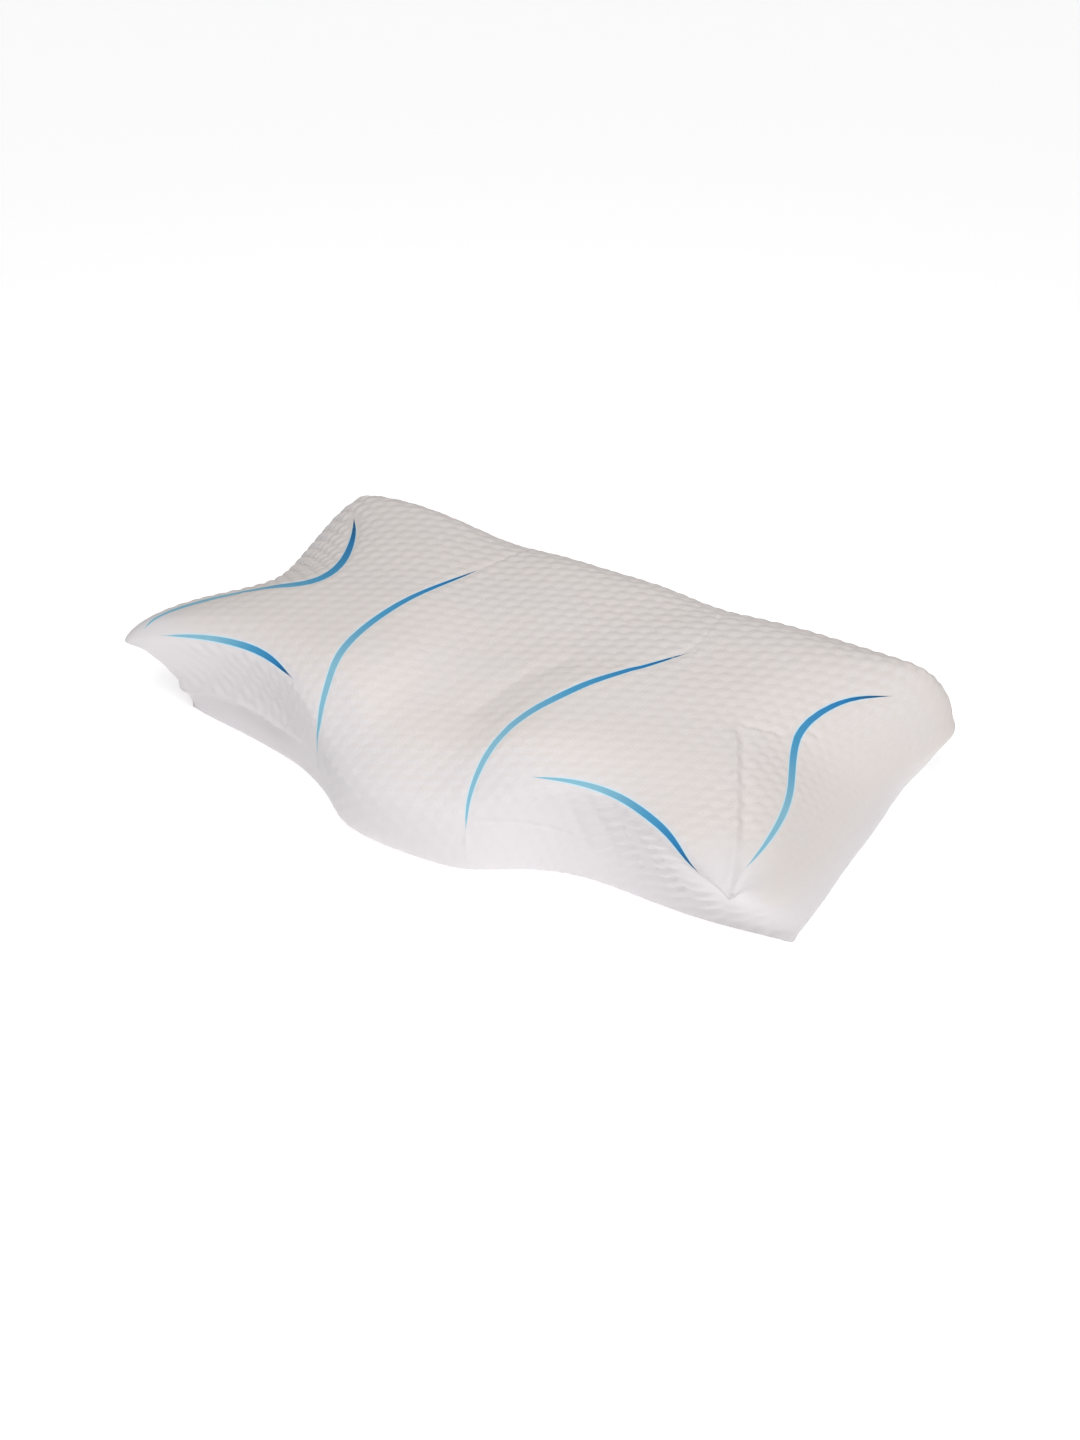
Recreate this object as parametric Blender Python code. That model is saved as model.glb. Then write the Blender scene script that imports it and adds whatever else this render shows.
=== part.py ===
# Contour pillow of memory foam in a fitted knitted cover, butterfly shaped: a low neck roll in the
# middle of the front edge, a raised wing with a pointed tip on each side of it, and a high back
# edge. The ends are drawn in between tip and back corner, and their walls lean out to a wider base,
# which the tips overhang. One closed, filled solid, lying on its base.
#
# Metres, +Z up. +X runs along the pillow's width, +Y from the neck roll to the back edge.
# The origin is the middle of the bounding box, on the surface that the pillow lies on.

import bpy
from mathutils import Vector

TOP_INSET = 0.020       # from the rim to the first row of points on top
BASE_INSET = 0.012      # from the base's edge to the first row of points underneath
SKEW = 0.020            # the pillow has settled a little out of square: back for each metre across
SMOOTHING = 2           # rounds of subdivision, which also round the rim and the base's edge

# One row for each section across half of the width, from the middle to the tip of the wing.
# x, y and z place the front rim, where the top turns down into the wall, and foot_y its foot.
# edge_z is the height just inside the rim, and the next heights run back over the top.
# upper, middle and lower say how far the wall stands proud of the straight line from rim to foot
# at three levels, less than zero where it is scooped. The back_ columns say the same of the back.
SECTION = ("name", "x", "y", "z", "foot_y", "upper", "middle", "lower",
           "edge_z", "neck_z", "dip_z", "mid_z", "rise_z", "crest_z",
           "back_edge_z", "back_x", "back_y", "back_z", "back_foot_y", "back_bulge")
SECTIONS = [
    ("middle",    0.000, -0.052, 0.044, -0.054, 0.004, 0.006, 0.004,
     0.056, 0.064, 0.071, 0.078, 0.083, 0.087, 0.087, 0.000, 0.230, 0.078, 0.238, 0.004),
    ("neck side", 0.038, -0.047, 0.044, -0.051, 0.004, 0.006, 0.004,
     0.054, 0.065, 0.074, 0.080, 0.083, 0.087, 0.087, 0.045, 0.230, 0.078, 0.238, 0.004),
    ("seam",      0.067, -0.034, 0.048, -0.042, 0.002, 0.003, 0.003,
     0.065, 0.078, 0.082, 0.083, 0.084, 0.085, 0.084, 0.086, 0.228, 0.074, 0.238, 0.002),
    ("shoulder",  0.098, -0.018, 0.067, -0.020, -0.003, -0.001, 0.000,
     0.076, 0.082, 0.084, 0.085, 0.086, 0.088, 0.087, 0.124, 0.230, 0.077, 0.238, 0.004),
    ("scoop",     0.145, 0.001, 0.071, -0.011, -0.004, -0.006, -0.003,
     0.077, 0.081, 0.083, 0.085, 0.088, 0.091, 0.090, 0.168, 0.231, 0.079, 0.238, 0.005),
    ("wing",      0.202, -0.014, 0.069, -0.008, -0.006, -0.010, -0.005,
     0.076, 0.079, 0.081, 0.083, 0.088, 0.092, 0.091, 0.214, 0.232, 0.079, 0.238, 0.008),
    ("tip",       0.256, -0.046, 0.061, 0.010, -0.004, -0.008, -0.004,
     0.071, 0.000, 0.000, 0.000, 0.000, 0.000, 0.088, 0.257, 0.229, 0.074, 0.236, 0.014),
]

# One row for each section along half an end, from the tip of the wing to the back corner
END = ("name", "x", "y", "z", "edge_z", "upper", "middle", "lower", "foot_x", "foot_y")
ENDS = [
    ("wing side",   0.254, -0.002, 0.065, 0.073, 0.000, 0.001, 0.002, 0.264, 0.046),
    ("waist front", 0.236, 0.048, 0.067, 0.075, 0.006, 0.010, 0.006, 0.260, 0.090),
    ("waist",       0.203, 0.096, 0.068, 0.076, 0.018, 0.021, 0.010, 0.258, 0.130),
    ("waist back",  0.205, 0.142, 0.075, 0.081, 0.022, 0.022, 0.010, 0.255, 0.168),
    ("corner side", 0.240, 0.188, 0.079, 0.089, 0.012, 0.018, 0.009, 0.250, 0.202),
]

# Where the halves differ: how far single points of a ring lie from where their section puts them.
# The right wing reaches further forward than the left one, the base is tucked in under the left
# tip, the right back corner bulges, and the left one has sunk a little.
UNEVEN = ("ring", "edge", "side", "section", "x", "y", "z")
UNEVEN_POINTS = [
    ("top",    "back",  "left",  "shoulder",     0.000, 0.000, 0.003),
    ("top",    "back",  "left",  "scoop",        0.000, 0.000, 0.002),
    ("top",    "back",  "right", "scoop",        0.000, 0.000, -0.003),
    ("top",    "back",  "right", "wing",         0.000, 0.000, -0.003),
    ("rim",    "front", "left",  "tip",          0.005, 0.006, -0.001),
    ("rim",    "front", "left",  "seam",         0.005, 0.002, 0.000),
    ("rim",    "front", "right", "wing",         0.006, -0.021, 0.000),
    ("rim",    "front", "right", "tip",         -0.005, -0.002, 0.002),
    ("rim",    "end",   "left",  "wing side",   -0.005, 0.000, 0.004),
    ("rim",    "end",   "left",  "waist front", -0.002, 0.000, 0.002),
    ("rim",    "back",  "left",  "tip",          0.008, -0.007, -0.009),
    ("rim",    "back",  "right", "tip",          0.010, 0.000, 0.000),
    ("upper",  "back",  "right", "tip",          0.008, 0.000, 0.000),
    ("middle", "back",  "right", "tip",          0.010, -0.004, 0.004),
    ("foot",   "front", "left",  "tip",          0.049, -0.013, 0.000),
    ("foot",   "front", "left",  "shoulder",     0.000, 0.003, 0.000),
    ("foot",   "front", "left",  "seam",         0.013, 0.006, 0.000),
    ("foot",   "front", "left",  "neck side",    0.004, 0.000, 0.000),
    ("foot",   "front", "right", "seam",         0.000, -0.004, 0.000),
    ("foot",   "front", "right", "shoulder",     0.000, 0.003, 0.000),
    ("foot",   "front", "right", "scoop",        0.000, 0.005, 0.000),
]

# Points where the cover comes to a corner, from 0 for rounded to 1 for sharp
SHARP = ("ring", "edge", "side", "section", "sharpness")
SHARP_POINTS = [
    ("rim",    "front", "left",  "tip", 0.35),
    ("rim",    "front", "right", "tip", 0.6),
    ("middle", "back",  "right", "tip", 0.3),
    ("foot",   "front", "left",  "tip", 0.6),
    ("foot",   "front", "right", "tip", 0.8),
]

FOOT_CORNER_X = (0.268, 0.246)   # the base's front and back corner

# How far down the wall each level lies, as a share of the way from rim to foot
WALL_LEVELS = {"upper": 0.24, "middle": 0.55, "lower": 0.86}
RINGS = ["top", "rim", *WALL_LEVELS, "foot", "underside"]

COVER_COLOUR = (0.86, 0.85, 0.85, 1.0)
COVER_ROUGHNESS = 0.9

COLUMNS = 2 * len(SECTIONS) - 1  # points along the front, and along the back
DEPTH = len(ENDS) + 2            # points along each end, corners included


def named(columns, table):
    """The table's rows as dictionaries."""
    return [dict(zip(columns, row)) for row in table]


def around(front, back, end):
    """Values for half the front, half the back and one end, as one ring round the whole pillow.

    The ring starts at the left tip and runs along the front, the right end, the back and the left end.
    """
    whole_front = front[:0:-1] + front
    whole_back = back[:0:-1] + back
    return whole_front + end + whole_back[::-1] + end[::-1]


def outline(front, back, end):
    """The same ring for points, which change sides to the left of the middle."""
    ring = [Vector(point) for point in around(front, back, end)]
    half = COLUMNS // 2
    for i in [*range(half), *range(len(ring) - len(end) - half, len(ring))]:
        ring[i].x *= -1
    return ring


def place_in_ring(point):
    """The number, in a ring, of the point that a row of a table names by its edge, side and section."""
    to_right = point["side"] == "right"
    if point["edge"] == "end":
        step = [e["name"] for e in named(END, ENDS)].index(point["section"])
        return COLUMNS + step if to_right else 2 * (COLUMNS + len(ENDS)) - 1 - step
    step = [s["name"] for s in named(SECTION, SECTIONS)].index(point["section"])
    half = COLUMNS // 2
    if point["edge"] == "front":
        return half + step if to_right else half - step
    return COLUMNS + len(ENDS) + half - (step if to_right else -step)


def set_uneven(ring, name):
    """Moves the points of a ring that the table of uneven points lists."""
    for p in named(UNEVEN, UNEVEN_POINTS):
        if p["ring"] == name:
            ring[place_in_ring(p)] += Vector((p["x"], p["y"], p["z"]))


def drawn_in(ring, distance):
    """The ring moved in by a distance, square to itself in plan and flat at z = 0."""
    moved = []
    for i, point in enumerate(ring):
        along = ring[(i + 1) % len(ring)] - ring[i - 1]
        inwards = Vector((-along.y, along.x, 0.0)).normalized()
        moved.append(Vector((point.x, point.y, 0.0)) + inwards * distance)
    return moved


def edges_of(ring):
    """A ring's front, back, left and right edges, each from left to right or from front to back."""
    front = ring[:COLUMNS]
    right = ring[COLUMNS - 1:COLUMNS + DEPTH - 1]
    back = ring[COLUMNS + DEPTH - 2:2 * COLUMNS + DEPTH - 2][::-1]
    left = [ring[-t] for t in range(DEPTH)]
    return front, back, left, right


def inside(ring, column, row):
    """A point of the smooth patch that a ring's four edges span."""
    front, back, left, right = edges_of(ring)
    u = column / (COLUMNS - 1)
    v = row / (DEPTH - 1)
    lengthwise = front[column] * (1 - v) + back[column] * v
    crosswise = left[row] * (1 - u) + right[row] * u
    front_corners = front[0] * (1 - u) + front[-1] * u
    back_corners = back[0] * (1 - u) + back[-1] * u
    return lengthwise + crosswise - front_corners * (1 - v) - back_corners * v


def rings_of_wall(sections, ends):
    """The rings of points from the top's edge, over the rim and down the wall, to the underside."""
    rim = outline([(s["x"], s["y"], s["z"]) for s in sections],
                  [(s["back_x"], s["back_y"], s["back_z"]) for s in sections],
                  [(e["x"], e["y"], e["z"]) for e in ends])
    set_uneven(rim, "rim")
    front_x = [s["x"] for s in sections[:-1]] + [FOOT_CORNER_X[0]]
    back_x = [s["back_x"] for s in sections[:-1]] + [FOOT_CORNER_X[1]]
    foot = outline([(x, s["foot_y"], 0.0) for x, s in zip(front_x, sections)],
                   [(x, s["back_foot_y"], 0.0) for x, s in zip(back_x, sections)],
                   [(e["foot_x"], e["foot_y"], 0.0) for e in ends])
    set_uneven(foot, "foot")

    top = drawn_in(rim, TOP_INSET)
    heights = around([s["edge_z"] for s in sections], [s["back_edge_z"] for s in sections],
                     [e["edge_z"] for e in ends])
    outwards = [(r - t).xy.normalized().to_3d() for r, t in zip(rim, top)]
    for point, height in zip(top, heights):
        point.z = height
    set_uneven(top, "top")

    wall = []
    for level, share in WALL_LEVELS.items():
        proud = around([s[level] for s in sections], [s["back_bulge"] for s in sections],
                       [e[level] for e in ends])
        ring = [r.lerp(f, share) + out * p for r, f, out, p in zip(rim, foot, outwards, proud)]
        set_uneven(ring, level)
        wall.append(ring)
    return [top, rim, *wall, foot, drawn_in(foot, BASE_INSET)]


def make_cage():
    """The points and four-sided faces that the pillow's surface is smoothed from, and each point's
    sharpness."""
    sections = named(SECTION, SECTIONS)
    points = []
    faces = []

    rings = []
    for ring in rings_of_wall(sections, named(END, ENDS)):
        rings.append(list(range(len(points), len(points) + len(ring))))
        points.extend(ring)
    for upper, lower in zip(rings, rings[1:]):
        for i in range(len(upper)):
            j = (i + 1) % len(upper)
            faces.append((upper[i], lower[i], lower[j], upper[j]))

    top_heights = [[s["neck_z"], s["dip_z"], s["mid_z"], s["rise_z"], s["crest_z"]] for s in sections]
    for numbers, is_top in ((rings[0], True), (rings[-1], False)):
        ring = [points[n] for n in numbers]
        front, back, left, right = edges_of(numbers)
        grid = [front]
        for row in range(1, DEPTH - 1):
            line = [left[row]]
            for column in range(1, COLUMNS - 1):
                point = inside(ring, column, row)
                if is_top:
                    point.z = top_heights[abs(column - COLUMNS // 2)][row - 1]
                line.append(len(points))
                points.append(point)
            grid.append(line + [right[row]])
        grid.append(back)
        for near, far in zip(grid, grid[1:]):
            for i in range(COLUMNS - 1):
                face = (near[i], near[i + 1], far[i + 1], far[i])
                faces.append(face if is_top else face[::-1])

    sharpness = [0.0] * len(points)
    for p in named(SHARP, SHARP_POINTS):
        sharpness[rings[RINGS.index(p["ring"])][place_in_ring(p)]] = p["sharpness"]
    return points, faces, sharpness


def cover_material():
    material = bpy.data.materials.new("white_knit")
    material.use_nodes = True
    shader = material.node_tree.nodes["Principled BSDF"]
    shader.inputs["Base Color"].default_value = COVER_COLOUR
    shader.inputs["Roughness"].default_value = COVER_ROUGHNESS
    shader.inputs["Metallic"].default_value = 0.0
    return material


def move_to_origin(thing):
    """Moves an object's points so that the middle of its smoothed box stands over the origin."""
    smoothed = thing.evaluated_get(bpy.context.evaluated_depsgraph_get()).data
    middle = []
    for axis in (0, 1):
        values = [vertex.co[axis] for vertex in smoothed.vertices]
        middle.append((min(values) + max(values)) / 2)
    for vertex in thing.data.vertices:
        vertex.co.xy -= Vector(middle)


def make_pillow():
    points, faces, sharpness = make_cage()
    mesh = bpy.data.meshes.new("pillow")
    mesh.from_pydata([(p.x, p.y + SKEW * p.x, p.z) for p in points], [], faces)
    mesh.vertex_creases_ensure()
    mesh.vertex_creases.data.foreach_set("value", sharpness)
    mesh.materials.append(cover_material())
    mesh.shade_smooth()
    pillow = bpy.data.objects.new("pillow", mesh)
    bpy.context.scene.collection.objects.link(pillow)
    smooth = pillow.modifiers.new("smooth", "SUBSURF")
    smooth.levels = SMOOTHING
    smooth.render_levels = SMOOTHING
    move_to_origin(pillow)


for leftover in list(bpy.data.objects):
    bpy.data.objects.remove(leftover)
make_pillow()
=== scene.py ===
# Contour pillow of memory foam in a white knitted cover, lying on a pale floor.
# Metres, +Z up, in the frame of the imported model.

import math

import bpy
import numpy as np
from mathutils import Matrix, Vector
from mathutils.bvhtree import BVHTree


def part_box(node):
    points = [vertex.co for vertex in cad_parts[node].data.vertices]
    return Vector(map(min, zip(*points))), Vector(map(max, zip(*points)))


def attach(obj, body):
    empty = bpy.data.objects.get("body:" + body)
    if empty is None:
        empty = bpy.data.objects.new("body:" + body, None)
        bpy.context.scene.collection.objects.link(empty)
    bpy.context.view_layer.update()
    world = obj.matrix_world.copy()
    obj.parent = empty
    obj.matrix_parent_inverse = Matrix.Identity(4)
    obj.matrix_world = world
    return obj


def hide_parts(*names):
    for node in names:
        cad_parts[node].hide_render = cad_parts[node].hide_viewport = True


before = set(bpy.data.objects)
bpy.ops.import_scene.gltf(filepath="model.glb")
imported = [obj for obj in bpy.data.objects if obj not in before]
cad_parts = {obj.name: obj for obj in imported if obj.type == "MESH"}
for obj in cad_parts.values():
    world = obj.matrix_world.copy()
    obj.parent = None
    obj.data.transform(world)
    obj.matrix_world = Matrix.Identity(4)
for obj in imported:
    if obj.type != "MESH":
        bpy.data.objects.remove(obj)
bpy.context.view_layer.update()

# The pillow
# One moulded block of foam with a fitted cover, butterfly shaped: a low neck roll between two raised
# wings, drawn-in ends and a high back edge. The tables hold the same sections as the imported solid.

TOP_INSET = 0.020       # from the rim to the first row of points on top
BASE_INSET = 0.012      # from the base's edge to the first row of points underneath
SKEW = 0.020            # the pillow has settled a little out of square: back for each metre across
SMOOTHING = 5           # rounds of subdivision

# One row for each section across half of the width, from the middle to the tip of the wing.
# x, y and z place the front rim, where the top turns down into the wall, and foot_y its foot.
# edge_z is the height just inside the rim, and the next heights run back over the top.
# upper, middle and lower say how far the wall stands proud of the straight line from rim to foot
# at three levels, less than zero where it is scooped. The back_ columns say the same of the back.
SECTION = ("name", "x", "y", "z", "foot_y", "upper", "middle", "lower",
           "edge_z", "neck_z", "dip_z", "mid_z", "rise_z", "crest_z",
           "back_edge_z", "back_x", "back_y", "back_z", "back_foot_y", "back_bulge")
SECTIONS = [
    ("middle",    0.000, -0.052, 0.044, -0.054, 0.004, 0.006, 0.004,
     0.056, 0.064, 0.071, 0.078, 0.083, 0.087, 0.087, 0.000, 0.230, 0.078, 0.238, 0.004),
    ("neck side", 0.038, -0.047, 0.044, -0.051, 0.004, 0.006, 0.004,
     0.054, 0.065, 0.074, 0.080, 0.083, 0.087, 0.087, 0.045, 0.230, 0.078, 0.238, 0.004),
    ("seam",      0.067, -0.034, 0.048, -0.042, 0.002, 0.003, 0.003,
     0.065, 0.078, 0.082, 0.083, 0.084, 0.085, 0.084, 0.086, 0.228, 0.074, 0.238, 0.002),
    ("shoulder",  0.098, -0.018, 0.067, -0.020, -0.003, -0.001, 0.000,
     0.076, 0.082, 0.084, 0.085, 0.086, 0.088, 0.087, 0.124, 0.230, 0.077, 0.238, 0.004),
    ("scoop",     0.145, 0.001, 0.071, -0.011, -0.004, -0.006, -0.003,
     0.077, 0.081, 0.083, 0.085, 0.088, 0.091, 0.090, 0.168, 0.231, 0.079, 0.238, 0.005),
    ("wing",      0.202, -0.014, 0.069, -0.008, -0.006, -0.010, -0.005,
     0.076, 0.079, 0.081, 0.083, 0.088, 0.092, 0.091, 0.214, 0.232, 0.079, 0.238, 0.008),
    ("tip",       0.256, -0.046, 0.061, 0.010, -0.004, -0.008, -0.004,
     0.071, 0.000, 0.000, 0.000, 0.000, 0.000, 0.088, 0.257, 0.229, 0.074, 0.236, 0.014),
]

# One row for each section along half an end, from the tip of the wing to the back corner
END = ("name", "x", "y", "z", "edge_z", "upper", "middle", "lower", "foot_x", "foot_y")
ENDS = [
    ("wing side",   0.254, -0.002, 0.065, 0.073, 0.000, 0.001, 0.002, 0.264, 0.046),
    ("waist front", 0.236, 0.048, 0.067, 0.075, 0.006, 0.010, 0.006, 0.260, 0.090),
    ("waist",       0.203, 0.096, 0.068, 0.076, 0.018, 0.021, 0.010, 0.258, 0.130),
    ("waist back",  0.205, 0.142, 0.075, 0.081, 0.022, 0.022, 0.010, 0.255, 0.168),
    ("corner side", 0.240, 0.188, 0.079, 0.089, 0.012, 0.018, 0.009, 0.250, 0.202),
]

# Where the halves differ: how far single points of a ring lie from where their section puts them.
# The right wing reaches further forward than the left one, the base is tucked in under the left
# tip, the right back corner bulges, and the left one has sunk a little.
UNEVEN = ("ring", "edge", "side", "section", "x", "y", "z")
UNEVEN_POINTS = [
    ("top",    "back",  "left",  "shoulder",     0.000, 0.000, 0.003),
    ("top",    "back",  "left",  "scoop",        0.000, 0.000, 0.002),
    ("top",    "back",  "right", "scoop",        0.000, 0.000, -0.003),
    ("top",    "back",  "right", "wing",         0.000, 0.000, -0.003),
    ("rim",    "front", "left",  "tip",          0.005, 0.006, -0.001),
    ("rim",    "front", "left",  "seam",         0.005, 0.002, 0.000),
    ("rim",    "front", "right", "wing",         0.006, -0.021, 0.000),
    ("rim",    "front", "right", "tip",         -0.005, -0.002, 0.002),
    ("rim",    "end",   "left",  "wing side",   -0.005, 0.000, 0.004),
    ("rim",    "end",   "left",  "waist front", -0.002, 0.000, 0.002),
    ("rim",    "back",  "left",  "tip",          0.008, -0.007, -0.009),
    ("rim",    "back",  "right", "tip",          0.010, 0.000, 0.000),
    ("upper",  "back",  "right", "tip",          0.008, 0.000, 0.000),
    ("middle", "back",  "right", "tip",          0.010, -0.004, 0.004),
    ("foot",   "front", "left",  "tip",          0.049, -0.013, 0.000),
    ("foot",   "front", "left",  "shoulder",     0.000, 0.003, 0.000),
    ("foot",   "front", "left",  "seam",         0.013, 0.006, 0.000),
    ("foot",   "front", "left",  "neck side",    0.004, 0.000, 0.000),
    ("foot",   "front", "right", "seam",         0.000, -0.004, 0.000),
    ("foot",   "front", "right", "shoulder",     0.000, 0.003, 0.000),
    ("foot",   "front", "right", "scoop",        0.000, 0.005, 0.000),
]

# Points where the cover comes to a corner, from 0 for rounded to 1 for sharp
SHARP = ("ring", "edge", "side", "section", "sharpness")
SHARP_POINTS = [
    ("rim",    "front", "left",  "tip", 0.35),
    ("rim",    "front", "right", "tip", 0.6),
    ("middle", "back",  "right", "tip", 0.3),
    ("foot",   "front", "left",  "tip", 0.6),
    ("foot",   "front", "right", "tip", 0.8),
]

FOOT_CORNER_X = (0.268, 0.246)   # the base's front and back corner

# How far down the wall each level lies, as a share of the way from rim to foot
WALL_LEVELS = {"upper": 0.24, "middle": 0.55, "lower": 0.86}
RINGS = ["top", "rim", *WALL_LEVELS, "foot", "underside"]

COLUMNS = 2 * len(SECTIONS) - 1  # points along the front, and along the back
DEPTH = len(ENDS) + 2            # points along each end, corners included


def named(columns, table):
    """The table's rows as dictionaries."""
    return [dict(zip(columns, row)) for row in table]


def around(front, back, end):
    """Values for half the front, half the back and one end, as one ring round the whole pillow.

    The ring starts at the left tip and runs along the front, the right end, the back and the left end.
    """
    whole_front = front[:0:-1] + front
    whole_back = back[:0:-1] + back
    return whole_front + end + whole_back[::-1] + end[::-1]


def outline(front, back, end):
    """The same ring for points, which change sides to the left of the middle."""
    ring = [Vector(point) for point in around(front, back, end)]
    half = COLUMNS // 2
    for i in [*range(half), *range(len(ring) - len(end) - half, len(ring))]:
        ring[i].x *= -1
    return ring


def place_in_ring(point):
    """The number, in a ring, of the point that a row of a table names by its edge, side and section."""
    to_right = point["side"] == "right"
    if point["edge"] == "end":
        step = [e["name"] for e in named(END, ENDS)].index(point["section"])
        return COLUMNS + step if to_right else 2 * (COLUMNS + len(ENDS)) - 1 - step
    step = [s["name"] for s in named(SECTION, SECTIONS)].index(point["section"])
    half = COLUMNS // 2
    if point["edge"] == "front":
        return half + step if to_right else half - step
    return COLUMNS + len(ENDS) + half - (step if to_right else -step)


def set_uneven(ring, name):
    """Moves the points of a ring that the table of uneven points lists."""
    for p in named(UNEVEN, UNEVEN_POINTS):
        if p["ring"] == name:
            ring[place_in_ring(p)] += Vector((p["x"], p["y"], p["z"]))


def drawn_in(ring, distance):
    """The ring moved in by a distance, square to itself in plan and flat at z = 0."""
    moved = []
    for i, point in enumerate(ring):
        along = ring[(i + 1) % len(ring)] - ring[i - 1]
        inwards = Vector((-along.y, along.x, 0.0)).normalized()
        moved.append(Vector((point.x, point.y, 0.0)) + inwards * distance)
    return moved


def edges_of(ring):
    """A ring's front, back, left and right edges, each from left to right or from front to back."""
    front = ring[:COLUMNS]
    right = ring[COLUMNS - 1:COLUMNS + DEPTH - 1]
    back = ring[COLUMNS + DEPTH - 2:2 * COLUMNS + DEPTH - 2][::-1]
    left = [ring[-t] for t in range(DEPTH)]
    return front, back, left, right


def inside(ring, column, row):
    """A point of the smooth patch that a ring's four edges span."""
    front, back, left, right = edges_of(ring)
    u = column / (COLUMNS - 1)
    v = row / (DEPTH - 1)
    lengthwise = front[column] * (1 - v) + back[column] * v
    crosswise = left[row] * (1 - u) + right[row] * u
    front_corners = front[0] * (1 - u) + front[-1] * u
    back_corners = back[0] * (1 - u) + back[-1] * u
    return lengthwise + crosswise - front_corners * (1 - v) - back_corners * v


def rings_of_wall(sections, ends):
    """The rings of points from the top's edge, over the rim and down the wall, to the underside."""
    rim = outline([(s["x"], s["y"], s["z"]) for s in sections],
                  [(s["back_x"], s["back_y"], s["back_z"]) for s in sections],
                  [(e["x"], e["y"], e["z"]) for e in ends])
    set_uneven(rim, "rim")
    front_x = [s["x"] for s in sections[:-1]] + [FOOT_CORNER_X[0]]
    back_x = [s["back_x"] for s in sections[:-1]] + [FOOT_CORNER_X[1]]
    foot = outline([(x, s["foot_y"], 0.0) for x, s in zip(front_x, sections)],
                   [(x, s["back_foot_y"], 0.0) for x, s in zip(back_x, sections)],
                   [(e["foot_x"], e["foot_y"], 0.0) for e in ends])
    set_uneven(foot, "foot")

    top = drawn_in(rim, TOP_INSET)
    heights = around([s["edge_z"] for s in sections], [s["back_edge_z"] for s in sections],
                     [e["edge_z"] for e in ends])
    outwards = [(r - t).xy.normalized().to_3d() for r, t in zip(rim, top)]
    for point, height in zip(top, heights):
        point.z = height
    set_uneven(top, "top")

    wall = []
    for level, share in WALL_LEVELS.items():
        proud = around([s[level] for s in sections], [s["back_bulge"] for s in sections],
                       [e[level] for e in ends])
        ring = [r.lerp(f, share) + out * p for r, f, out, p in zip(rim, foot, outwards, proud)]
        set_uneven(ring, level)
        wall.append(ring)
    return [top, rim, *wall, foot, drawn_in(foot, BASE_INSET)]


def make_cage():
    """The points and four-sided faces that the pillow's surface is smoothed from, and each point's
    sharpness."""
    sections = named(SECTION, SECTIONS)
    points = []
    faces = []

    rings = []
    for ring in rings_of_wall(sections, named(END, ENDS)):
        rings.append(list(range(len(points), len(points) + len(ring))))
        points.extend(ring)
    for upper, lower in zip(rings, rings[1:]):
        for i in range(len(upper)):
            j = (i + 1) % len(upper)
            faces.append((upper[i], lower[i], lower[j], upper[j]))

    top_heights = [[s["neck_z"], s["dip_z"], s["mid_z"], s["rise_z"], s["crest_z"]] for s in sections]
    for numbers, is_top in ((rings[0], True), (rings[-1], False)):
        ring = [points[n] for n in numbers]
        front, back, left, right = edges_of(numbers)
        grid = [front]
        for row in range(1, DEPTH - 1):
            line = [left[row]]
            for column in range(1, COLUMNS - 1):
                point = inside(ring, column, row)
                if is_top:
                    point.z = top_heights[abs(column - COLUMNS // 2)][row - 1]
                line.append(len(points))
                points.append(point)
            grid.append(line + [right[row]])
        grid.append(back)
        for near, far in zip(grid, grid[1:]):
            for i in range(COLUMNS - 1):
                face = (near[i], near[i + 1], far[i + 1], far[i])
                faces.append(face if is_top else face[::-1])

    sharpness = [0.0] * len(points)
    for p in named(SHARP, SHARP_POINTS):
        sharpness[rings[RINGS.index(p["ring"])][place_in_ring(p)]] = p["sharpness"]
    return points, faces, sharpness


def pick_up(thing):
    """The finished mesh of an object with modifiers. The object itself is removed."""
    shaped = thing.evaluated_get(bpy.context.evaluated_depsgraph_get())
    mesh = bpy.data.meshes.new_from_object(shaped)
    bpy.data.objects.remove(thing)
    return mesh


def place(mesh):
    """An object at the world's origin with this mesh."""
    thing = bpy.data.objects.new(mesh.name, mesh)
    bpy.context.scene.collection.objects.link(thing)
    return thing


def points_of(mesh):
    """The places of the mesh's points, as rows of x, y and z."""
    values = np.empty(len(mesh.vertices) * 3, np.float32)
    mesh.vertices.foreach_get("co", values)
    return values.reshape(-1, 3).astype(np.float64)


def directions_of(mesh):
    """The surface's direction outwards at each point."""
    values = np.empty(len(mesh.vertices) * 3, np.float32)
    mesh.vertex_normals.foreach_get("vector", values)
    return values.reshape(-1, 3).astype(np.float64)


def smooth_pillow():
    """The pillow's mesh without any relief, moved to where the solid lies."""
    cage_points, cage_faces, sharpness = make_cage()
    mesh = bpy.data.meshes.new("smooth")
    mesh.from_pydata([(p.x, p.y + SKEW * p.x, p.z) for p in cage_points], [], cage_faces)
    mesh.vertex_creases_ensure()
    mesh.vertex_creases.data.foreach_set("value", sharpness)
    thing = place(mesh)
    rounding = thing.modifiers.new("rounding", "SUBSURF")
    rounding.levels = SMOOTHING
    rounding.render_levels = SMOOTHING
    mesh = pick_up(thing)
    points = points_of(mesh)
    low, high = (np.array(corner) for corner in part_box("pillow"))
    shift = (low + high) / 2 - (points.min(0) + points.max(0)) / 2
    shift[2] = 0.0
    points += shift
    mesh.vertices.foreach_set("co", points.astype(np.float32).ravel())
    mesh.update()
    return mesh


smooth = smooth_pillow()
skin = BVHTree.FromPolygons(points_of(smooth).tolist(), [tuple(face.vertices) for face in smooth.polygons])

# The cover's lines
# Blue accent lines printed on the cloth, and the seams that its panels are sewn together along. The
# points of a route are in millimetres on the pillow: picked in the photo, carried onto the surface
# through the camera and rounded, and some then moved. A smooth curve runs through them.

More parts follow.
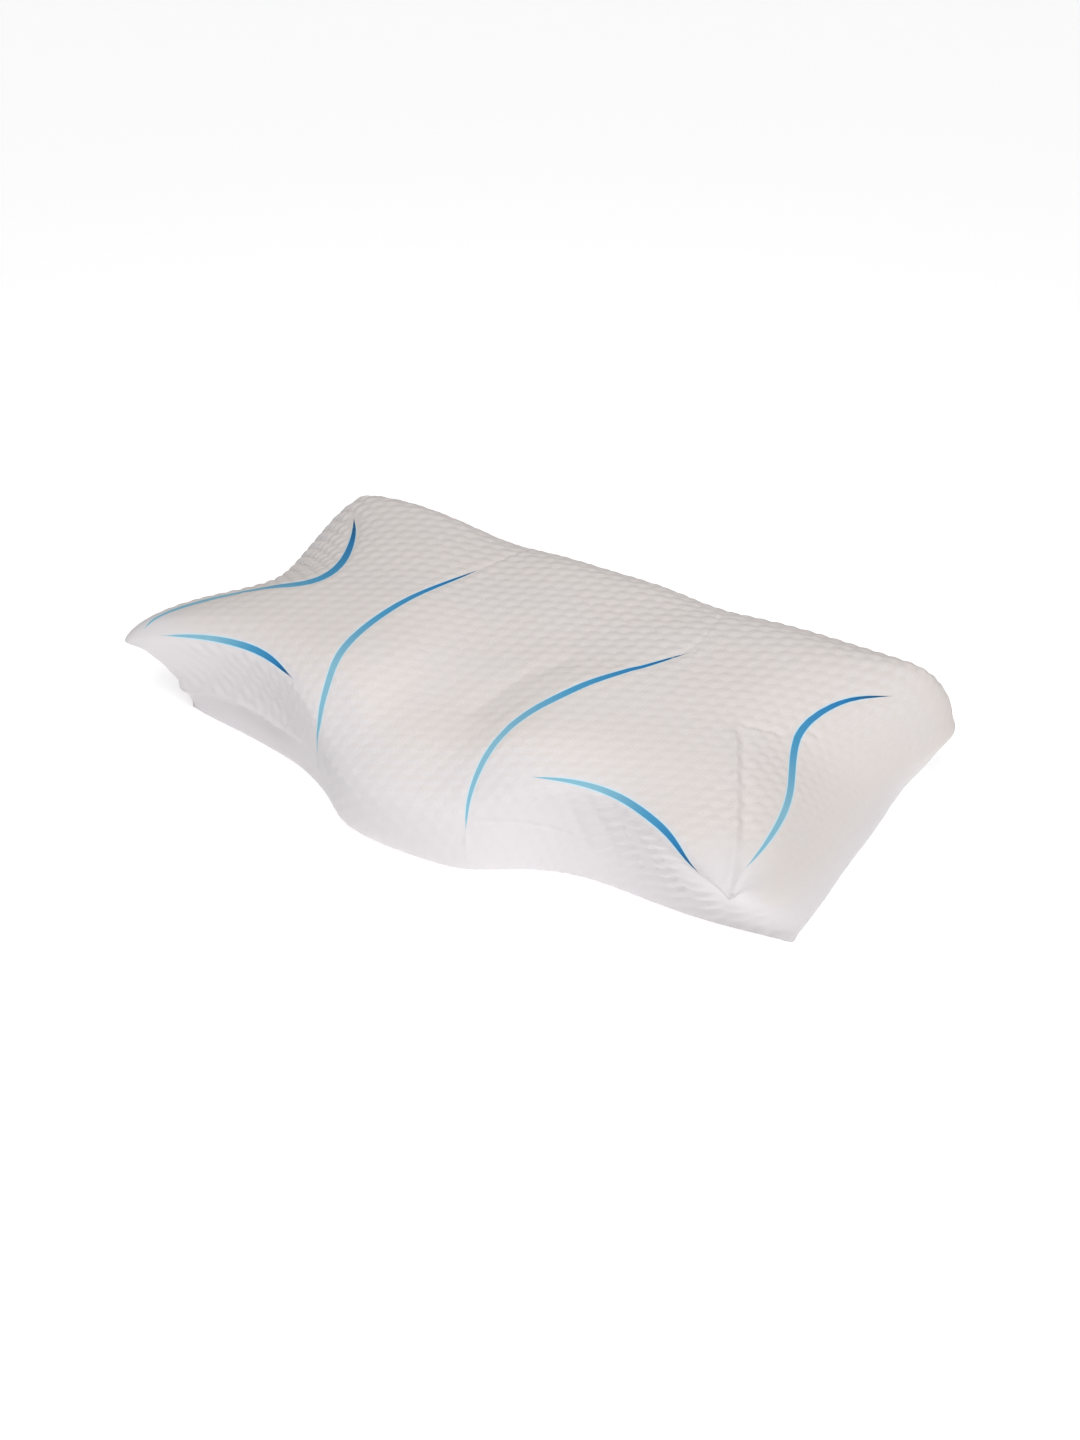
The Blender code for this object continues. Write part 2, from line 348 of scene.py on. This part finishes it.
PRINTED = {    # the line's greatest width in mm, how far along it that is reached, and its route
    "left waist": (9.0, 0.42, [(-242, -118, 69), (-242, -103, 71), (-239, -88, 72), (-230, -66, 73),
                                (-216, -47, 74), (-200, -34, 77), (-184, -25, 81), (-175, -14, 82),
                                (-173, 2, 82), (-178, 22, 82), (-188, 42, 82), (-201, 62, 83),
                                (-214, 77, 84)]),
    "left wing": (4.8, 0.62, [(-224, -116, 68), (-210, -109, 69), (-194, -103, 70), (-175, -98, 70),
                              (-155, -96, 70), (-136, -98, 69), (-116, -104, 67)]),
    "neck left": (5.6, 0.50, [(-75, -127, 30), (-72, -125, 48), (-77, -118, 58), (-82, -107, 68),
                              (-87, -94, 75), (-93, -77, 80), (-97, -58, 82), (-99, -40, 83),
                              (-99, -20, 84), (-97, 2, 85), (-93, 24, 85), (-89, 42, 85), (-84, 64, 85)]),
    "neck right": (5.6, 0.52, [(58, -136, 32), (56, -131, 44), (53, -122, 54), (51, -110, 64),
                               (51, -94, 72), (52, -78, 77), (55, -60, 80), (62, -38, 82), (70, -15, 84),
                               (81, 6, 85), (92, 26, 85), (104, 49, 86)]),
    "right wing": (4.4, 0.6, [(89, -105, 67), (110, -98, 69), (130, -95, 70), (150, -96, 70),
                              (171, -102, 70), (188, -109, 70), (203, -118, 68), (217, -127, 62)]),
    "right waist": (4.8, 0.55, [(241, -106, 68), (240, -88, 68), (237, -68, 67), (232, -47, 65),
                                (225, -26, 64), (216, -7, 64), (208, 11, 67), (203, 24, 70), (202, 36, 73),
                                (204, 50, 75), (209, 64, 77), (218, 78, 79), (234, 94, 78)]),
}
SEAMS = {
    "back left": [(-85, 58, 85), (-79, 87, 85), (-74, 107, 85), (-71, 124, 79)],
    "back right": [(101, 42, 86), (104, 69, 87), (99, 100, 86), (95, 122, 82), (93, 132, 74)],
    "front left": [(-228, -107, 20), (-209, -104, 22), (-181, -101, 25), (-149, -103, 26),
                   (-115, -110, 26), (-97, -116, 27)],
    "front right": [(57, -135, 37), (76, -123, 39), (92, -113, 37), (108, -104, 34), (120, -100, 29)],
    "foot left": [(-85, -118, 48), (-83, -122, 30), (-77, -130, 12)],
    "foot right": [(58, -136, 34), (60, -138, 20), (61, -139, 8)],
}

ROUTE_STEP = 1.5         # mm between the points of a smooth route
STEPS_TO_NEXT = 24       # finer steps from each listed point to the next, before they are spaced evenly
EVENING = 40             # rounds that take out the small bends where two stretches of a route meet


def smooth_route(points):
    """Evenly spaced points, in metres, on the smooth curve through a route's points in millimetres."""
    knots = np.array(points, np.float64) / 1000
    knots = np.vstack([2 * knots[0] - knots[1], knots, 2 * knots[-1] - knots[-2]])
    fine = []
    for a, b, c, d in zip(knots, knots[1:], knots[2:], knots[3:]):
        for t in np.arange(0, 1, 1 / STEPS_TO_NEXT):
            fine.append(0.5 * (2 * b + (c - a) * t + (2 * a - 5 * b + 4 * c - d) * t ** 2
                               + (3 * b - a - 3 * c + d) * t ** 3))
    fine = np.array([*fine, knots[-2]])
    lengths = np.r_[0, np.cumsum(np.linalg.norm(np.diff(fine, axis=0), axis=1))]
    even = np.linspace(0, lengths[-1], max(2, round(lengths[-1] * 1000 / ROUTE_STEP) + 1))
    route = np.stack([np.interp(even, lengths, fine[:, axis]) for axis in range(3)], axis=1)
    for _ in range(EVENING):
        route[1:-1] = (route[:-2] + 2 * route[1:-1] + route[2:]) / 4
    return route


def traced(stops):
    """A smooth route laid on the pillow, and the skin's direction at each of its points."""
    found = [skin.find_nearest(Vector(point))[:2] for point in smooth_route(stops)]
    return np.array([hit[0] for hit in found]), np.array([hit[1] for hit in found])


def beside(points, route, up, reach):
    """Which points lie within reach of a route on the skin, and for those how far along it, from 0 to 1,
    and how far to the right of it, in millimetres, negative to the left."""
    reach /= 1000
    low, high = route.min(0) - reach, route.max(0) + reach
    near = np.flatnonzero(((points > low) & (points < high)).all(1))
    gaps = np.linalg.norm(points[near, None] - route[None], axis=2)
    closest = gaps.argmin(1)
    kept = gaps[np.arange(len(near)), closest] < reach
    near, closest = near[kept], closest[kept]
    ahead = np.gradient(route, axis=0)
    step = np.linalg.norm(ahead, axis=1, keepdims=True)
    ahead /= step
    side = np.cross(ahead, up)
    offset = points[near] - route[closest]
    along = (closest + (offset * ahead[closest]).sum(1) / step[closest, 0]) / (len(route) - 1)
    return near, along, (offset * side[closest]).sum(1) * 1000


printed_routes = {name: traced(stops) for name, (_, _, stops) in PRINTED.items()}

# The knitted cover
# A thick double jersey whose two faces are knitted apart and joined along a net of lines, which
# leaves a raised bubble in each mesh of the net. It is stretched over the foam without filling.

BUBBLE_HEIGHT = 0.85     # mm, on plain cloth
BUBBLE_FULLNESS = 0.65   # below 1 a bubble is full, with steep sides
COLUMN_PITCH = 10.8      # mm between the columns of bubbles, which run from front to back
COLUMN_LEAN = 0.17       # how far the columns lean to the right on their way back
FRONT_PITCH = 12.4       # mm from bubble to bubble down a column, at the front edge
BACK_PITCH = 9.6         # and at the back edge, where the cover is stretched less
HALF_DEPTH = 150.0       # mm, from the middle of the pillow to those edges
TOP_LEVEL = 80.0         # mm, the height from which the cloth turns down the walls
END_WALLS = 120.0        # mm to each side of the middle, from where on it turns down the ends
TOP_MIDDLE = 20.0        # mm behind the pillow's middle
LONG_WALLS = 110.0       # mm in front of and behind that, from where on it turns down front and back
TIPS = ((-245, -122, 62), (240, -130, 62))
PRINT_MARGIN = 3.0       # mm beside a printed line in which the bubbles rise to their full height
PRINT_REACH = 8.0        # mm, past which a printed line changes nothing


def ease(values, start, end):
    """0 before start and 1 after end, with a soft change between them."""
    t = np.clip((values - start) / (end - start), 0, 1)
    return t * t * (3 - 2 * t)


def away_from(tip, points):
    """How far each point is from the tip of a wing, in millimetres."""
    return np.linalg.norm(points * 1000 - tip, axis=1)


def cloth_places(points):
    """Each point's place on the cloth, in millimetres: across the pillow and from front to back.

    The cloth runs down the walls, so a point lower down lies further out.
    """
    x, y, z = (points * 1000).T
    drop = TOP_LEVEL - z
    sideways = np.clip(x / END_WALLS, -1, 1) ** 3
    lengthways = np.clip((y - TOP_MIDDLE) / LONG_WALLS, -1, 1)
    return x + sideways * drop, y + lengthways * drop


def bubbles(points):
    """The net of bubbles, from 0 in its lines to 1 on top of a bubble.

    Three sets of waves cross one another. Columns and rows sway by a millimetre or so, because the cloth
    doesn't lie quite straight.
    """
    across, back = cloth_places(points)
    sway = 1.2 * np.sin(back / 37) + 0.8 * np.sin(across / 51 + back / 80)
    column = (across - COLUMN_LEAN * back + sway) / COLUMN_PITCH
    middle_pitch = 2 / (1 / FRONT_PITCH + 1 / BACK_PITCH)
    change = (1 / BACK_PITCH - 1 / FRONT_PITCH) / (4 * HALF_DEPTH)
    row = back / middle_pitch + change * back ** 2 - 0.005 * across + 0.1 * np.sin(across / 43)
    waves = (np.cos(2 * np.pi * column) + np.cos(2 * np.pi * (row + column / 2))
             + np.cos(2 * np.pi * (row - column / 2)))
    lowest, highest = -1.5, 3.0
    return ((waves - lowest) / (highest - lowest)) ** BUBBLE_FULLNESS


def bubble_strength(points, up):
    """How far the bubbles stand out at each point, where 1 is plain cloth. Distances are in millimetres."""
    x, y, z = (points * 1000).T
    to_left, to_right, to_front = -up[:, 0], up[:, 0], -up[:, 1]

    # fainter where the cloth is stretched over the neck roll and the fronts of the wings
    neck = (1 - ease(np.abs(x), 45, 110)) * (1 - ease(y, -95, 5))
    strength = (1 - 0.25 * neck) * (1 - 0.3 * ease(-y, -20, 50) * (1 - neck))
    for tip in TIPS:
        strength *= 0.1 + 0.9 * ease(away_from(tip, points), 15, 60)
    # fuller at the back, on the walls under the wings and behind the right wing's ridge
    strength *= 1 + 0.2 * ease(y, 0, 60)
    strength *= 1 + 1.1 * ease(to_front, 0.3, 0.8) * ease(np.abs(x), 105, 135) * ease(z, 5, 30)
    strength *= 1 + 0.5 * ease(x, 185, 200) * ease(-y, -10, 20)
    # full on the left end, faint on the right one
    strength *= 1 + ease(to_left, 0.1, 0.5) * ease(-x, 140, 180)
    strength *= 1 - 0.7 * ease(to_right, 0.35, 0.8)
    # none on the flat band at the foot of the left wing's wall
    strength *= 1 - ease(-x, 60, 90) * ease(to_front, 0.3, 0.6) * (1 - ease(z, 18, 27))
    # pressed flat by the print
    for name, (width, _, _) in PRINTED.items():
        near, _, aside = beside(points, *printed_routes[name], PRINT_REACH)
        strength[near] *= ease(np.abs(aside), width * 0.35, width / 2 + PRINT_MARGIN)
    return strength


# Folds and ridges of the cover: height, half width and the route, all in millimetres. A trough has
# a height below zero.
FOLDS = [
    # the hollow and the rise on the right of the neck roll
    (-1.3, 9.0, [(16, -82, 74), (17, -60, 78), (24, -30, 81), (44, 10, 83)]),
    (0.7, 8.0, [(44, -88, 75), (46, -68, 79), (55, -40, 82), (72, -4, 84), (90, 20, 85)]),
    # the right wing's ridge, the trough beside it and the tuck at its top
    (1.5, 2.8, [(171, -1, 81), (189, -32, 79), (209, -66, 77), (226, -96, 73), (236, -117, 69),
                (240, -130, 64)]),
    (-1.2, 4.0, [(175, 4, 80), (195, -31, 77), (215, -65, 74), (232, -97, 71)]),
    (-1.0, 2.6, [(171, 0, 81), (180, 8, 80), (192, 16, 77), (204, 20, 70)]),
    # the crease and the ridge at the right tip
    (-1.6, 3.0, [(240, -100, 69), (243, -116, 68), (244, -129, 64), (246, -134, 54)]),
    (0.9, 3.0, [(216, -121, 62), (228, -126, 66), (238, -131, 64)]),
    # creases down the wall under the right wing
    (-0.8, 3.5, [(110, -100, 60), (118, -99, 40), (128, -100, 18)]),
    (-1.0, 3.5, [(125, -97, 62), (136, -97, 42), (148, -99, 16)]),
    (-1.0, 3.5, [(141, -95, 62), (153, -96, 40), (166, -99, 13)]),
    (-1.1, 3.5, [(156, -96, 60), (168, -97, 38), (184, -98, 14)]),
    (-1.0, 3.5, [(172, -100, 60), (185, -99, 38), (200, -98, 16)]),
    # wrinkles in the right waist
    (-0.8, 2.5, [(194, 34, 72), (206, 38, 70), (216, 36, 64)]),
    (-0.7, 2.5, [(192, 24, 72), (204, 27, 69), (214, 25, 62)]),
    (-0.7, 2.5, [(196, 46, 74), (206, 50, 72), (216, 50, 66)]),
    # seams that stand out, and seams that are sunk
    (2.4, 1.7, SEAMS["front left"]),
    (0.9, 1.4, SEAMS["foot left"]),
    (0.7, 1.3, SEAMS["foot right"]),
    (-0.5, 1.2, SEAMS["back left"]),
    (-0.5, 1.2, SEAMS["back right"]),
    (-0.8, 1.5, SEAMS["front right"]),
]
FOLD_END = 12.0          # mm over which a fold rises at each end, or a third of a short one

LEDGE_HEIGHT = 3.6       # mm that the cloth bulges out over the seam under the left wing
LEDGE_REACH = 8.0        # mm up the wall
LEDGE_STEP = 1.8         # mm below the seam in which the first half of the bulge falls away
LEDGE_TAIL = (-18.0, 20.0)   # mm below the seam, from where to where the rest does

UNEVENNESS = 0.3         # mm, of soft foam under a cover that isn't quite smooth


def fold_heights(points):
    """How far the folds, ridges and seams lift or sink the cloth, in millimetres."""
    heights = np.zeros(len(points))
    for height, half_width, stops in FOLDS:
        route, up = traced(stops)
        near, along, aside = beside(points, route, up, 3 * half_width)
        length = len(route) * ROUTE_STEP
        end = min(FOLD_END, length / 3)
        ends = ease(along * length, 0, end) * ease((1 - along) * length, 0, end)
        heights[near] += height * ends * np.exp(-(aside / half_width) ** 2)
    return heights


def ledge_height(points):
    """How far the cloth bulges over the seam under the left wing, in millimetres, steep below it."""
    heights = np.zeros(len(points))
    near, along, below = beside(points, *traced(SEAMS["front left"]), 3 * LEDGE_REACH)
    ends = ease(along, -0.01, 0.02) * ease(1 - along, -0.01, 0.25)
    under = 0.5 * (1 - ease(below, 0, LEDGE_STEP)) + 1 - ease(below, *LEDGE_TAIL)
    profile = np.where(below < 0, np.exp(-(below / LEDGE_REACH) ** 2), np.minimum(1, under))
    heights[near] = LEDGE_HEIGHT * ends * profile
    return heights


def unevenness(points):
    """The slight waviness of the foam, in millimetres."""
    x, y, z = (points * 1000).T
    return UNEVENNESS * (np.sin(x / 17 + y / 29 + 1) + 0.7 * np.sin(y / 13 - x / 31 + z / 19)
                         + np.sin(x / 43 - y / 37 + z / 11 + 2))


MOST_TRIANGLES = 190_000     # in the finished cover


def knitted_cover():
    """The smooth pillow with the cloth's relief, as one object."""
    points = points_of(smooth)
    up = directions_of(smooth)
    relief = (BUBBLE_HEIGHT * bubbles(points) * bubble_strength(points, up)
              + fold_heights(points) + ledge_height(points) + unevenness(points))
    relief *= 1 - ease(-up[:, 2], 0.3, 0.7)      # none on the base
    moved = points + up * relief[:, None] / 1000
    moved[:, 2] = np.maximum(moved[:, 2], 0.0)
    smooth.vertices.foreach_set("co", moved.astype(np.float32).ravel())
    smooth.update()
    rough = place(smooth)
    thinned = rough.modifiers.new("thinned", "DECIMATE")
    thinned.ratio = MOST_TRIANGLES / (2 * len(smooth.polygons))
    mesh = pick_up(rough)
    mesh.name = "pillow_cover"
    mesh.shade_smooth()
    return place(mesh)


cover = knitted_cover()
points = points_of(cover.data)

# The printed lines are kept on the cover as four values for each point: how far along a line it
# lies, how far beside it and how wide half the line is there, in millimetres, and whether it is near.
LINE_REACH = 14.0        # mm beside a line in which the points know of it
LINE_MARGIN = 2.2        # mm beside its edge in which a point counts as near
LINE_OVERRUN = 0.02      # past each end, as a share of its length
LINE_TAPER = 0.65        # below 1 the line stays wide until close to its ends

lines = {name: np.zeros(len(points)) for name in ("line_along", "line_aside", "line_half", "line_near")}
nearest = np.full(len(points), np.inf)
for name, (width, widest, _) in PRINTED.items():
    route, up = printed_routes[name]
    nearby, along, aside = beside(points, route, up, LINE_REACH)
    beyond = np.maximum(0, np.maximum(-along, along - 1)) * len(route) * ROUTE_STEP
    closer = np.hypot(aside, beyond) < nearest[nearby]
    nearby, along, aside, beyond = (values[closer] for values in (nearby, along, aside, beyond))
    nearest[nearby] = np.hypot(aside, beyond)
    swell = np.clip(np.where(along < widest, along / widest, (1 - along) / (1 - widest)), 0, 1)
    half = width / 2 * np.sin(swell * np.pi / 2) ** LINE_TAPER
    lines["line_along"][nearby] = along
    lines["line_aside"][nearby] = aside
    lines["line_half"][nearby] = half
    lines["line_near"][nearby] = ((np.abs(aside) < half + LINE_MARGIN)
                                  & (along > -LINE_OVERRUN) & (along < 1 + LINE_OVERRUN))

# Painted light: the tint that the light gives the white is painted in, warm where the cloth faces up
# and to the ends, and cool low down, on the front walls and at the tips.
painted_light_tint = ease(points[:, 2] * 1000, 8, 40) * (1 - ease(-directions_of(cover.data)[:, 1], 0.25, 0.7))
for tip in TIPS:
    painted_light_tint *= ease(away_from(tip, points), 8, 50)
for name, values in [*lines.items(), ("painted_light_tint", painted_light_tint)]:
    attribute = cover.data.attributes.new(name, "FLOAT", "POINT")
    attribute.data.foreach_set("value", values.astype(np.float32))

# A map of the cloth in metres, for the knit
cloth_map = cover.data.uv_layers.new(name="cloth")
corners = np.empty(len(cover.data.loops), np.int32)
cover.data.loops.foreach_get("vertex_index", corners)
places = np.stack(cloth_places(points), axis=1)[corners] / 1000
cloth_map.data.foreach_set("uv", places.astype(np.float32).ravel())


def colour(code):
    """A linear colour from an sRGB hex code."""
    parts = [int(code[i:i + 2], 16) / 255 for i in (1, 3, 5)]
    return (*(p / 12.92 if p <= 0.04045 else ((p + 0.055) / 1.055) ** 2.4 for p in parts), 1.0)


def add_node(tree, kind, inputs=(), output=0, **settings):
    """Adds a node and gives one of its outputs. The inputs, in order or by name, are values or the
    sockets that feed them."""
    made = tree.nodes.new("ShaderNode" + kind)
    for name, value in settings.items():
        setattr(made, name, value)
    for name, value in (inputs if isinstance(inputs, dict) else dict(enumerate(inputs))).items():
        if isinstance(value, bpy.types.NodeSocket):
            tree.links.new(value, made.inputs[name])
        else:
            made.inputs[name].default_value = value
    return made.outputs[output]


def new_material(name):
    """A material with its tree and its shader."""
    material = bpy.data.materials.new(name)
    material.use_nodes = True
    tree = material.node_tree
    return material, tree, tree.nodes["Principled BSDF"]


# Polyester jersey: matt, with a short nap that catches a little light at the edges. The knit's own
# loops are about 0.7 mm wide, which is too fine to show, and are drawn 2.4 mm wide.
LOOP_WIDTH = 0.0024
LOOP_HEIGHT = 0.0018
LOOP_DEPTH = 0.00012
LEG_SLANT = 2.5          # how far the loops' legs slant across a rib
LEG_DEPTH = 0.35         # as a share of the ribs' own depth
FUZZ_DEPTH = 0.8         # the same for the fuzz of loose fibres
FUZZ_SIZE = 0.00111
BLOTCH_SIZE = 0.0714     # faint warm and cool places in the white
BLOTCH_STRENGTH = 0.9
# The two whites, mixed both by the painted tint of the light (warm on faces turned up and to the ends, cool
# on the front walls) and by the random blotches
WARM_WHITE = "#dcd5d2"
COOL_WHITE = "#dbd7d9"

# Blue print, soaked into the yarn and so as matt as the cloth. Each line runs from pale to dark and
# bleeds a little, which leaves a pale edge. The numbers say how far along it each blue is reached.
LINE_BLUES = ((0.0, "#83b7cc"), (0.3, "#83b7cc"), (0.6, "#4796c0"), (0.85, "#2478b0"), (0.97, "#12507c"))
LINE_EDGE_BLUE = "#bfe0ee"
LINE_EDGE_STRENGTH = 0.9
LINE_EDGE = (-1.3, -0.3)         # mm, below zero beside the line: where the edge starts and is full
LINE_EDGE_WIDTHS = (0.3, 1.3)    # mm, half the line: too thin for an edge, and wide enough
LINE_BLUR = 0.15                 # mm


def bubble_jersey():
    """The cover's material: white jersey with the printed lines on it."""
    material, tree, shader = new_material("bubble_jersey")
    place_on = add_node(tree, "TexCoord", output="Object")
    cloth = add_node(tree, "UVMap", uv_map="cloth")
    painted_light_tint, along, aside, half, near = (
        add_node(tree, "Attribute", output="Fac", attribute_name=name)
        for name in ("painted_light_tint", "line_along", "line_aside", "line_half", "line_near"))

    # the white of the cloth, with the painted tint of the light and faint blotches of random tone
    noise = add_node(tree, "TexNoise", {"Vector": place_on, "Scale": 1 / BLOTCH_SIZE, "Detail": 3.0}, "Fac")
    blotches = add_node(tree, "Math", [noise, BLOTCH_STRENGTH, -BLOTCH_STRENGTH / 2],
                        operation="MULTIPLY_ADD")
    painted_tint_and_blotches = add_node(tree, "Math", [painted_light_tint, blotches], operation="ADD")
    white = add_node(tree, "Mix", {"Factor": painted_tint_and_blotches, "A": colour(COOL_WHITE), "B": colour(WARM_WHITE)},
                     "Result", data_type="RGBA")

    # the printed lines
    off_middle = add_node(tree, "Math", [aside], operation="ABSOLUTE")
    within = add_node(tree, "Math", [half, off_middle], operation="SUBTRACT")
    inked = add_node(tree, "MapRange", {"Value": within, "From Min": -LINE_BLUR, "From Max": LINE_BLUR})
    line = add_node(tree, "Math", [near, inked], operation="MULTIPLY")
    wide_enough = add_node(tree, "MapRange", {
        "Value": half, "From Min": LINE_EDGE_WIDTHS[0], "From Max": LINE_EDGE_WIDTHS[1]})
    bled = add_node(tree, "MapRange", {
        "Value": within, "From Min": LINE_EDGE[0], "From Max": LINE_EDGE[1], "To Max": LINE_EDGE_STRENGTH})
    near_wide = add_node(tree, "Math", [near, wide_enough], operation="MULTIPLY")
    edge = add_node(tree, "Math", [near_wide, bled], operation="MULTIPLY")
    blue = add_node(tree, "ValToRGB", [along])
    blends = blue.node.color_ramp.elements
    while len(blends) < len(LINE_BLUES):
        blends.new(0.5)
    for blend, (position, code) in zip(blends, LINE_BLUES):
        blend.position = position
        blend.color = colour(code)
    edged = add_node(tree, "Mix", {"Factor": edge, "A": white, "B": colour(LINE_EDGE_BLUE)},
                     "Result", data_type="RGBA")
    painted = add_node(tree, "Mix", {"Factor": line, "A": edged, "B": blue}, "Result", data_type="RGBA")
    tree.links.new(painted, shader.inputs["Base Color"])

    # the loops of the knit: ribs up the cloth, each crossed by a row of slanting legs
    across = add_node(tree, "SeparateXYZ", [cloth], "X")
    back = across.node.outputs["Y"]
    column = add_node(tree, "Math", [across, math.pi / LOOP_WIDTH], operation="MULTIPLY")
    wave = add_node(tree, "Math", [column], operation="SINE")
    rib = add_node(tree, "Math", [wave], operation="ABSOLUTE")
    row = add_node(tree, "Math", [back, math.tau / LOOP_HEIGHT], operation="MULTIPLY")
    slant = add_node(tree, "Math", [rib, LEG_SLANT, row], operation="MULTIPLY_ADD")
    legs = add_node(tree, "Math", [slant], operation="SINE")
    loops = add_node(tree, "Math", [legs, LEG_DEPTH, rib], operation="MULTIPLY_ADD")
    fuzz = add_node(tree, "TexNoise", {"Vector": place_on, "Scale": 1 / FUZZ_SIZE, "Detail": 2.0}, "Fac")
    knit = add_node(tree, "Math", [fuzz, FUZZ_DEPTH, loops], operation="MULTIPLY_ADD")
    bump = add_node(tree, "Bump", {"Strength": 0.5, "Distance": LOOP_DEPTH, "Height": knit})
    tree.links.new(bump, shader.inputs["Normal"])
    shader.inputs["Roughness"].default_value = 0.88
    shader.inputs["Sheen Weight"].default_value = 0.06
    shader.inputs["Sheen Roughness"].default_value = 0.5
    shader.inputs["Specular IOR Level"].default_value = 0.3
    return material


cover.data.materials.clear()
cover.data.materials.append(bubble_jersey())
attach(cover, "root")
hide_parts("pillow")

# The studio
# A pale floor under a soft lamp above the camera, with a bright ceiling and two bright walls as wide
# distant lamps. The camera looks down on the pillow from its front right.

FLOOR_HALF = 6.0
FLOOR_WHITE = "#fbfbfb"
FLOOR_GLOW = 0.45

LOOK_AT = Vector((0.0149, 0.0054, 0.0224))
CAMERA_PLACE = (35.4, 33.2, 1.152)   # degrees to the right of the pillow's front, degrees up, metres away
FRAME_HEIGHT = 36.0      # mm
LENS = 41.0              # mm

SOFTBOX_PLACE = (28, 63, 0.88)
SOFTBOX_SIZE = 0.5
SOFTBOX_POWER = 3.4
DISTANT_LAMPS = {        # strength, degrees to the right of the pillow's front, degrees up
    "ceiling": (1.12, 0, 88),
    "right wall": (1.03, 78, 28),
    "front wall": (0.2, -30, 25),
}
DISTANT_ANGLE = 60.0     # degrees that each of them spans, which makes its shadows soft
DISTANT_AT = 3.0         # metres


def studio_floor():
    """A wide floor of matt white paint, without gloss. It glows a little, so it stays pale all over."""
    mesh = bpy.data.meshes.new("floor")
    mesh.from_pydata([(-FLOOR_HALF, -FLOOR_HALF, 0), (FLOOR_HALF, -FLOOR_HALF, 0),
                      (FLOOR_HALF, FLOOR_HALF, 0), (-FLOOR_HALF, FLOOR_HALF, 0)], [], [(0, 1, 2, 3)])
    material, _, shader = new_material("matt_paint")
    shader.inputs["Base Color"].default_value = colour(FLOOR_WHITE)
    shader.inputs["Roughness"].default_value = 0.9
    shader.inputs["Emission Color"].default_value = colour("#ffffff")
    shader.inputs["Emission Strength"].default_value = FLOOR_GLOW
    mesh.materials.append(material)
    return place(mesh)


def aim(name, data, at, turn, height, distance):
    """A camera or a lamp at this turn to the right of the pillow's front, this height in degrees and
    this distance, facing the place."""
    turn, height = math.radians(turn), math.radians(height)
    direction = Vector((math.sin(turn) * math.cos(height), -math.cos(turn) * math.cos(height),
                        math.sin(height)))
    thing = bpy.data.objects.new(name, data)
    facing = direction.to_track_quat("Z", "Y").to_matrix().to_4x4()
    thing.matrix_world = Matrix.Translation(at + direction * distance) @ facing
    bpy.context.scene.collection.objects.link(thing)
    return thing


studio_floor()

lens = bpy.data.cameras.new("camera")
lens.sensor_fit = "VERTICAL"
lens.sensor_height = FRAME_HEIGHT
lens.lens = LENS
bpy.context.scene.camera = aim("camera", lens, LOOK_AT, *CAMERA_PLACE)

middle = Vector((0, 0, 0))
softbox = bpy.data.lights.new("softbox", "AREA")
softbox.size = SOFTBOX_SIZE
softbox.energy = SOFTBOX_POWER
aim("softbox", softbox, middle, *SOFTBOX_PLACE)
for name, (strength, turn, height) in DISTANT_LAMPS.items():
    lamp = bpy.data.lights.new(name, "SUN")
    lamp.angle = math.radians(DISTANT_ANGLE)
    lamp.energy = strength
    aim(name, lamp, middle, turn, height, DISTANT_AT)

world = bpy.data.worlds.new("studio")
world.use_nodes = True
world.node_tree.nodes["Background"].inputs["Strength"].default_value = 0.0
bpy.context.scene.world = world
bpy.context.scene.view_settings.view_transform = "Standard"
